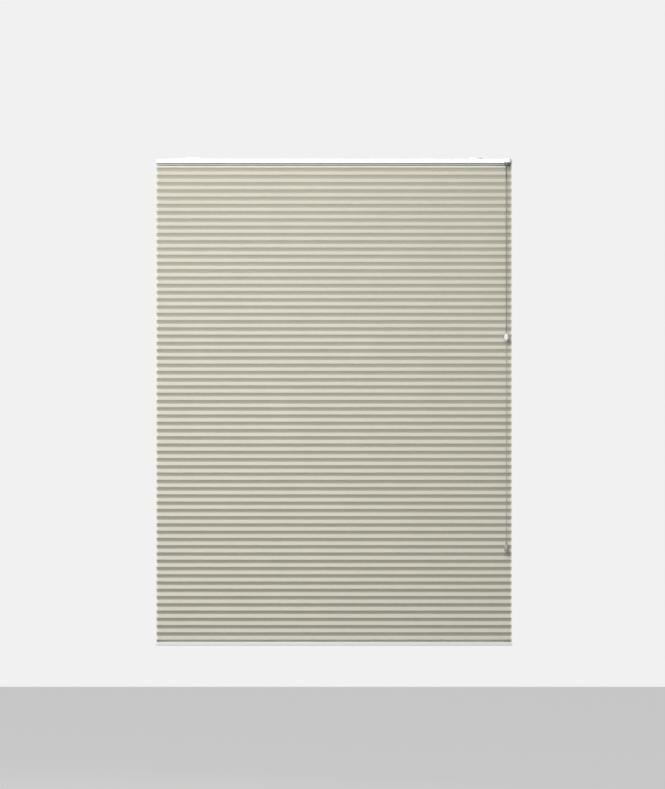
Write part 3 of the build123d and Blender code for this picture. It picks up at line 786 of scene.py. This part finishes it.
def arc(center, radius, start, end):
    """Points on a circle in the (y, z) plane, angles in degrees."""
    points = []
    for i in range(ROUND_STEPS + 1):
        angle = math.radians(start + (end - start) * i / ROUND_STEPS)
        points.append((center[0] + radius * math.cos(angle), center[1] + radius * math.sin(angle)))
    return points


def mirrored(half):
    """Close a half outline, drawn on the -Y side from top to bottom, with its mirror image."""
    return half + [(-y, z) for y, z in reversed(half)]


def extruded(outline, places):
    """A closed (y, z) outline drawn at the first place along X and run through the others."""
    bm = bmesh.new()
    ring = [bm.verts.new((places[0], y, z)) for y, z in outline]
    edges = [bm.edges.new(pair) for pair in zip(ring, ring[1:] + ring[:1])]
    bm.faces.new(ring)
    for before, after in zip(places, places[1:]):
        made = bmesh.ops.extrude_edge_only(bm, edges=edges)["geom"]
        verts = [g for g in made if isinstance(g, bmesh.types.BMVert)]
        edges = [g for g in made if isinstance(g, bmesh.types.BMEdge)]
        bmesh.ops.translate(bm, verts=verts, vec=(after - before, 0, 0))
    bmesh.ops.holes_fill(bm, edges=edges, sides=0)
    bmesh.ops.recalc_face_normals(bm, faces=bm.faces)
    return bm


def pierce(bm, low, high):
    """Open a wall where its faces' centres lie in a box, and close the cut's sides."""
    opened = []
    for face in bm.faces:
        center = face.calc_center_median()
        if all(a < c < b for a, c, b in zip(low, center, high)):
            opened.append(face)
    bmesh.ops.delete(bm, geom=opened, context="FACES")
    rim = [edge for edge in bm.edges if edge.is_boundary]
    bmesh.ops.bridge_loops(bm, edges=rim)


def finish_piece(piece, body, node):
    """Ride a body and stand for a CAD node, which is hidden."""
    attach(piece, body)
    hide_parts(node)


def headrail_outline():
    """Section of the headrail: slotted box above, narrow channel for the fabric below."""
    low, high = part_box("headrail")
    half, top, bottom = high.y, high.z, low.z
    r = HEADRAIL_CORNER
    outer = [(-HEADRAIL_SLOT_HALF, top), (-WINDOW_BACK, top)]
    outer += arc((-half + r, top - r), r, 90, 180)
    outer += [(-half, WINDOW_BOTTOM_Z)]
    outer += arc((-half + r, box_bottom_z + r), r, 180, 270)
    outer += [
        (-CHANNEL_HALF, box_bottom_z),
        (-CHANNEL_HALF, bottom),
        (-CHANNEL_SLOT_HALF, bottom),
        (-CHANNEL_SLOT_HALF, bottom + CHANNEL_WALL),
        (-CHANNEL_HALF + CHANNEL_WALL, bottom + CHANNEL_WALL),
        (-CHANNEL_HALF + CHANNEL_WALL, box_bottom_z),
    ]
    inner_half = half - HEADRAIL_WALL
    inner = [
        (HEADRAIL_SLOT_HALF, top - HEADRAIL_WALL),
        (WINDOW_BACK, top - HEADRAIL_WALL),
        (inner_half, top - HEADRAIL_WALL),
        (inner_half, WINDOW_BOTTOM_Z),
        (inner_half, box_bottom_z + HEADRAIL_WALL),
    ]
    return mirrored(outer) + inner + [(-y, z) for y, z in reversed(inner)]


def headrail_shell():
    """Extruded headrail with the window where the cord lock's nose stands out."""
    low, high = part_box("headrail")
    window = (nose_left_x - WINDOW_GAP, NOSE_RIGHT_X + WINDOW_GAP)
    bm = extruded(headrail_outline(), [low.x, *window, high.x])
    pierce(
        bm,
        (window[0], -FAR, WINDOW_BOTTOM_Z),
        (window[1], -WINDOW_BACK, FAR),
    )
    shell = make_object("headrail_shell", bm, HEADRAIL_PAINT_AND_SHADE)
    finish_piece(shell, "headrail", "headrail")


def end_cap(name, outline, inner_x, outer_x, edge):
    """A moulded cap: seam against the rail, rounded outer edge and a shallow sunk panel."""
    sign = 1 if outer_x > inner_x else -1
    bm = bmesh.new()
    ring = [bm.verts.new((inner_x + sign * CAP_SEAM, y, z)) for y, z in outline]
    seam_face = bm.faces.new(ring)
    made = bmesh.ops.extrude_face_region(bm, geom=[seam_face], use_keep_orig=True)["geom"]
    verts = [g for g in made if isinstance(g, bmesh.types.BMVert)]
    depth = abs(outer_x - inner_x) - CAP_SEAM
    bmesh.ops.translate(bm, verts=verts, vec=(sign * depth, 0, 0))
    bmesh.ops.recalc_face_normals(bm, faces=bm.faces)
    outer_face = next(g for g in made if isinstance(g, bmesh.types.BMFace))
    bmesh.ops.inset_region(bm, faces=[outer_face], thickness=edge * 2, depth=0)
    bmesh.ops.translate(bm, verts=outer_face.verts, vec=(-sign * edge / 3, 0, 0))
    rim = [e for e in bm.edges if all(abs(v.co.x - outer_x) < 1e-6 for v in e.verts)]
    rim = [e for e in rim if any(abs(f.normal.x) < 0.5 for f in e.link_faces)]
    bmesh.ops.bevel(
        bm,
        geom=rim,
        offset=edge,
        segments=4,
        profile=0.5,
        affect="EDGES",
        material=-1,
        clamp_overlap=True,
    )
    seam_face = max(bm.faces, key=lambda f: -sign * f.calc_center_median().x)
    bmesh.ops.inset_region(bm, faces=[seam_face], thickness=CAP_SEAM, depth=0)
    made = bmesh.ops.extrude_face_region(bm, geom=[seam_face])["geom"]
    verts = [g for g in made if isinstance(g, bmesh.types.BMVert)]
    bmesh.ops.translate(bm, verts=verts, vec=(-sign * CAP_SEAM, 0, 0))
    bmesh.ops.recalc_face_normals(bm, faces=bm.faces)
    return make_object(name, bm, CAP_PLASTIC)


def headrail_caps():
    """The two end caps of the headrail."""
    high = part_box("headrail_end_cap_right")[1]
    rail_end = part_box("headrail")[1].x
    r = HEADRAIL_CORNER
    half = high.y
    outline = arc((-half + r, high.z - r), r, 90, 180)
    outline += arc((-half + r, box_bottom_z + r), r, 180, 270)
    outline += [(-CHANNEL_HALF, box_bottom_z), (-CHANNEL_HALF, fabric_high.z + 0.2 * MM)]
    outline = mirrored(outline)
    for side, sign in (("left", -1), ("right", 1)):
        cap_piece = end_cap(
            "headrail_cap_" + side, outline, sign * rail_end, sign * high.x, CAP_EDGE
        )
        finish_piece(cap_piece, "headrail", "headrail_end_cap_" + side)


def bottom_rail_pieces():
    """Extruded bottom rail, slotted along its top, and its two end caps."""
    low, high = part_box("bottom_rail")
    half, top, bottom = high.y, high.z, low.z
    r = RAIL_CORNER
    outer = [(-RAIL_SLOT_HALF, top)]
    outer += arc((-half + r, top - r), r, 90, 180)
    outer += arc((-half + r, bottom + r), r, 180, 270)
    inner_half = half - RAIL_WALL
    inner = [
        (RAIL_SLOT_HALF, top - RAIL_WALL),
        (inner_half, top - RAIL_WALL),
        (inner_half, bottom + RAIL_WALL),
    ]
    outline = mirrored(outer) + inner + [(-y, z) for y, z in reversed(inner)]
    rail = make_object("bottom_rail_tube", extruded(outline, [low.x, high.x]), RAIL_PAINT)
    finish_piece(rail, "bottom_rail", "bottom_rail")
    cap_outline = [(-RAIL_NOTCH_HALF, top - 2 * MM), (-RAIL_NOTCH_HALF, top)] + outer[1:]
    cap_outline = mirrored(cap_outline)
    end_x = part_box("bottom_rail_end_cap_right")[1].x
    for side, sign in (("left", -1), ("right", 1)):
        cap_piece = end_cap(
            "bottom_rail_cap_" + side, cap_outline, sign * high.x, sign * end_x, RAIL_CORNER / 2
        )
        finish_piece(cap_piece, "bottom_rail", "bottom_rail_end_cap_" + side)


def fabric_strip(name, node, half, body):
    """A flat strip that holds the fabric, with a hole for each lift cord."""
    low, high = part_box(node)
    hole = FABRIC_HOLE_HALF
    outline = mirrored([(-hole, high.z), (-half, high.z), (-half, low.z), (-hole, low.z)])
    places = [low.x]
    for x in cord_xs:
        places += [x - hole, x + hole]
    bm = extruded(outline, places + [high.x])
    for x in cord_xs:
        pierce(bm, (x - hole, -hole, -FAR), (x + hole, hole, FAR))
    bmesh.ops.recalc_face_normals(bm, faces=bm.faces)
    strip = make_object(name, bm, STRIP_PLASTIC)
    finish_piece(strip, body, node)


outlet_low, outlet_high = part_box("cord_outlet")
outlet_x = (outlet_low.x + outlet_high.x) / 2
outlet_y = (outlet_low.y + outlet_high.y) / 2
nose_left_x = outlet_x - NOSE_HALF
headrail_shell()
headrail_caps()
bottom_rail_pieces()
fabric_strip("top_strip_pierced", "top_fabric_strip", TOP_STRIP_HALF, "headrail")
fabric_strip("bottom_strip_pierced", "bottom_fabric_strip", BOTTOM_STRIP_HALF, "bottom_rail")


# ---- lock, guides, brackets and levers -------------------------------------------------------
def softened(node, name, width, material, body):
    """A node's own shape with its sharp edges broken."""
    bm = bmesh.new()
    bm.from_mesh(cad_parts[node].data)
    bmesh.ops.remove_doubles(bm, verts=bm.verts, dist=1e-6)
    bmesh.ops.dissolve_limit(bm, angle_limit=math.radians(1), verts=bm.verts, edges=bm.edges)
    sharp = [
        e
        for e in bm.edges
        if len(e.link_faces) == 2 and math.radians(50) < e.calc_face_angle(0.0)
    ]
    bmesh.ops.bevel(
        bm,
        geom=sharp,
        offset=width,
        segments=2,
        profile=0.5,
        affect="EDGES",
        material=-1,
        clamp_overlap=True,
    )
    piece = make_object(name, bm, material)
    finish_piece(piece, body, node)


softened("cord_lock_body", "lock_housing", 0.25 * MM, LOCK_PLASTIC, "headrail")
softened("cord_lock_front_pin", "lock_front_pin", 0.15 * MM, PIN_STEEL, "headrail")
softened("cord_lock_post", "lock_post", 0.15 * MM, PIN_STEEL, "headrail")
for name in cord_names:
    guide, washer = "guide_" + name, "washer_" + name
    softened("cord_" + guide, guide, 0.15 * MM, LOCK_PLASTIC, "headrail")
    softened("cord_" + washer, washer, 0.15 * MM, STRIP_PLASTIC, "bottom_rail")
for side in ("left", "right"):
    bracket, plate = "bracket_" + side, "bracket_plate_" + side
    lever, rivet = "lever_" + side, "rivet_" + side
    softened(bracket, plate, 0.18 * MM, BRACKET_STEEL, "headrail")
    softened("bracket_" + lever, lever, 0.25 * MM, LEVER_PLASTIC, lever)
    softened("bracket_" + rivet, rivet, 0.2 * MM, PIN_STEEL, "headrail")


def knurled_roller():
    """The jam roller: a ridged barrel with a turned journal at each end."""
    low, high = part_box("cord_lock_roller")
    center_y = (low.y + high.y) / 2
    center_z = (low.z + high.z) / 2
    ridge = 1.6 * MM
    valley = 1.47 * MM
    journal = 0.8 * MM
    journal_length = 1.2 * MM
    bm = bmesh.new()
    bmesh.ops.create_circle(bm, cap_ends=True, radius=ridge, segments=48)
    for vert in list(bm.verts)[1::2]:
        vert.co *= valley / ridge
    barrel = high.x - low.x - 2 * journal_length
    face = next(iter(bm.faces))
    made = bmesh.ops.extrude_face_region(bm, geom=[face], use_keep_orig=True)["geom"]
    verts = [g for g in made if isinstance(g, bmesh.types.BMVert)]
    bmesh.ops.translate(bm, verts=verts, vec=(0, 0, barrel))
    ends = [f for f in bm.faces if len(f.verts) > 4]
    for end in ends:
        outward = 1 if end.calc_center_median().z > barrel / 2 else -1
        bmesh.ops.inset_region(bm, faces=[end], thickness=valley - journal, depth=0)
        made = bmesh.ops.extrude_face_region(bm, geom=[end])["geom"]
        verts = [g for g in made if isinstance(g, bmesh.types.BMVert)]
        bmesh.ops.translate(bm, verts=verts, vec=(0, 0, outward * journal_length))
    bmesh.ops.recalc_face_normals(bm, faces=bm.faces)
    bmesh.ops.translate(bm, verts=bm.verts, vec=(0, 0, -barrel / 2))
    bmesh.ops.rotate(bm, verts=bm.verts, matrix=Matrix.Rotation(math.pi / 2, 3, "Y"))
    middle = ((low.x + high.x) / 2, center_y, center_z)
    bmesh.ops.translate(bm, verts=bm.verts, vec=middle)
    roller = make_object("jam_roller_knurled", bm, PIN_STEEL, math.radians(12))
    finish_piece(roller, "lock_roller", "cord_lock_roller")


def outlet_eyelet():
    """Oval eyelet under the nose, through which the three cords come down."""
    half_width = (outlet_high.x - outlet_low.x) / 2
    half_depth = (outlet_high.y - outlet_low.y) / 2
    bead_top = outlet_low.z + 4.8 * MM
    bead_r = 2.4 * MM
    neck = 6.0 * MM
    bore = 4.6 * MM
    middle_z = bead_top - bead_r
    outline = [(neck, outlet_high.z), (neck, bead_top - 0.1 * MM)]
    for i in range(13):
        angle = math.pi / 2 - math.pi * i / 12
        outline.append(
            (half_width - bead_r + bead_r * math.cos(angle), middle_z + bead_r * math.sin(angle))
        )
    outline += [
        (bore + 0.6 * MM, outlet_low.z),
        (bore, outlet_low.z + 0.6 * MM),
        (bore, outlet_high.z),
    ]
    bm = turned(outline, (0, 0), 64)
    bmesh.ops.scale(bm, verts=bm.verts, vec=(1, half_depth / half_width, 1))
    bmesh.ops.translate(bm, verts=bm.verts, vec=(outlet_x, outlet_y, 0))
    eyelet = make_object("outlet_eyelet", bm, OUTLET_PLASTIC)
    finish_piece(eyelet, "headrail", "cord_outlet")


knurled_roller()
outlet_eyelet()

# ---- honeycomb fabric ------------------------------------------------------------------------
FACE_POINTS = (0.0, 0.3, 0.58, 0.82, 1.0)
CREASE_POWER = 1.45  # the faces flare out towards the pressed fold
GLUE_GAP = 0.02 * MM
COLUMN = 42.0 * MM
WAVE_DEPTH = 0.22 * MM
WAVE_HEIGHT = 0.18 * MM
WAVE_PLACE = (5.0, 1.7, 3.1)  # steps through the noise per metre of X, per row and per side
WAVE_SHIFT = Vector((7.3, 0, 0))
FABRIC_CREASE = math.radians(50)


def cell_outline(top, fold, bottom):
    """One cell's section as (y, z) points, from its upper web round the room side."""
    half = [(-FABRIC_HOLE_HALF, top)]
    for t in FACE_POINTS:
        y = -WEB_HALF - fold_depth * t**CREASE_POWER
        half.append((y, top + (fold - top) * t))
    for t in reversed(FACE_POINTS[:-1]):
        y = -WEB_HALF - fold_depth * t**CREASE_POWER
        half.append((y, bottom + (fold - bottom) * t))
    half.append((-FABRIC_HOLE_HALF, bottom))
    return half + [(-y, z) for y, z in reversed(half)]


def fabric_columns():
    """Places along X where the section is repeated, with a narrow column at each cord hole."""
    places = []
    count = round(2 * fabric_half / COLUMN)
    for i in range(count + 1):
        x = -fabric_half + 2 * fabric_half * i / count
        if all(abs(x - hole) > 4 * FABRIC_HOLE_HALF for hole in cord_xs):
            places.append(x)
    for hole in cord_xs:
        places += [hole - FABRIC_HOLE_HALF, hole + FABRIC_HOLE_HALF]
    return sorted(places)


def honeycomb_fabric():
    """Cells of folded fabric, glued web to web, open at both ends and pierced for the cords."""
    bm = bmesh.new()
    loop_edges = []
    for cell in range(CELL_COUNT):
        fold = FIRST_FOLD_Z - cell * CELL_PITCH
        top = min(fabric_high.z, fold + UPPER_FACE_RISE)
        bottom = max(fabric_low.z, fold - (CELL_PITCH - UPPER_FACE_RISE))
        outline = cell_outline(top - GLUE_GAP, fold, bottom + GLUE_GAP)
        ring = [bm.verts.new((-fabric_half, y, z)) for y, z in outline]
        loop_edges += [bm.edges.new(pair) for pair in zip(ring, ring[1:] + ring[:1])]
    places = fabric_columns()
    edges = loop_edges
    for before, after in zip(places, places[1:]):
        made = bmesh.ops.extrude_edge_only(bm, edges=edges)["geom"]
        verts = [g for g in made if isinstance(g, bmesh.types.BMVert)]
        edges = [g for g in made if isinstance(g, bmesh.types.BMEdge)]
        bmesh.ops.translate(bm, verts=verts, vec=(after - before, 0, 0))
    bmesh.ops.recalc_face_normals(bm, faces=bm.faces)
    # the webs are cut through where the lift cords pass
    pierced = []
    for face in bm.faces:
        center = face.calc_center_median()
        at_cord = any(abs(center.x - hole) < FABRIC_HOLE_HALF / 2 for hole in cord_xs)
        if at_cord and abs(center.y) < FABRIC_HOLE_HALF / 2:
            pierced.append(face)
    bmesh.ops.delete(bm, geom=pierced, context="FACES")
    # slight unevenness of each fold along the width
    for vert in bm.verts:
        out = max(0.0, (abs(vert.co.y) - WEB_HALF) / fold_depth)
        row = math.floor((vert.co.z - fabric_low.z) / CELL_PITCH)
        side = 1 if vert.co.y > 0 else -1
        spot = (vert.co.x, row, side)
        where = Vector([a * b for a, b in zip(spot, WAVE_PLACE)])
        inward = (noise.noise(where) - 0.5) * WAVE_DEPTH * out
        vert.co.y += side * min(0.0, inward)
        vert.co.z += noise.noise(where + WAVE_SHIFT) * WAVE_HEIGHT * out
    fabric = make_object("honeycomb_cells", bm, FABRIC, FABRIC_CREASE)
    solid = fabric.modifiers.new("cloth", "SOLIDIFY")
    solid.thickness = FABRIC_WALL
    solid.offset = -1
    bpy.context.view_layer.update()
    shaped = fabric.evaluated_get(bpy.context.evaluated_depsgraph_get())
    mesh = bpy.data.meshes.new_from_object(shaped)
    fabric.modifiers.clear()
    bm = bmesh.new()
    bm.from_mesh(mesh)
    sharpen(bm, FABRIC_CREASE)
    bm.to_mesh(mesh)
    bm.free()
    fabric.data = mesh
    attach(fabric, "headrail")
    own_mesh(fabric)
    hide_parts("honeycomb_fabric")


honeycomb_fabric()

# ---- floor and light -------------------------------------------------------------------------
FLOOR_Z = -2.45
FLOOR_HALF = 9.0
FLOOR_GLOW = 0.5

floor_bm = bmesh.new()
bmesh.ops.create_grid(floor_bm, x_segments=1, y_segments=1, size=FLOOR_HALF)
bmesh.ops.translate(floor_bm, verts=floor_bm.verts, vec=(0, 0, FLOOR_Z))
FLOOR_PAINT = mottle_material("floor_paint", (0.55, 0.55, 0.54), 0.8, 1.5, 0.02, 40.0, 0.1 * MM)
floor = make_object("studio_floor", floor_bm, FLOOR_PAINT)
# this glow is for the camera only, so it lights nothing
floor_tree = FLOOR_PAINT.node_tree
floor_seen = floor_tree.nodes.new("ShaderNodeLightPath")
floor_glow = math_node(floor_tree, "MULTIPLY", floor_seen.outputs["Is Camera Ray"], FLOOR_GLOW)
floor_shader = floor_tree.nodes["Principled BSDF"]
floor_shader.inputs["Emission Color"].default_value = (1, 1, 1, 1)
floor_tree.links.new(floor_glow, floor_shader.inputs["Emission Strength"])

AMBIENT = 0.10
BACKGROUND = 0.88
world = bpy.data.worlds.new("soft_room")
world.use_nodes = True
bpy.context.scene.world = world
nodes = world.node_tree.nodes
links = world.node_tree.links
background = nodes["Background"]
background.inputs["Color"].default_value = (1, 1, 1, 1)
seen = nodes.new("ShaderNodeLightPath")
level = nodes.new("ShaderNodeMix")
level.inputs["A"].default_value = AMBIENT
level.inputs["B"].default_value = BACKGROUND
links.new(seen.outputs["Is Camera Ray"], level.inputs["Factor"])
links.new(level.outputs["Result"], background.inputs["Strength"])


def soft_light(name, place, target, size, power, spread):
    """A soft box, its size as (across, upright), turned to face a point."""
    data = bpy.data.lights.new(name, "AREA")
    data.shape = "RECTANGLE"
    data.size, data.size_y = size
    data.energy = power
    data.spread = math.radians(spread)
    light = bpy.data.objects.new(name, data)
    light.location = place
    direction = Vector(target) - Vector(place)
    light.rotation_euler = direction.to_track_quat("-Z", "Y").to_euler()
    bpy.context.scene.collection.objects.link(light)


soft_light("key_light", (-0.71, -2.7, 0.6), (0.0, 0.0, -1.3), (3.0, 0.35), 64.5, 150)
soft_light("overhead_light", (-0.5, -2.6, 1.4), (0.0, 0.0, -1.3), (1.6, 1.0), 32.0, 180)
soft_light("back_light", (0.9, 3.0, 1.0), (0.0, 0.0, -0.7), (2.0, 1.6), 80.0, 180)

bpy.context.scene.view_settings.view_transform = "Standard"
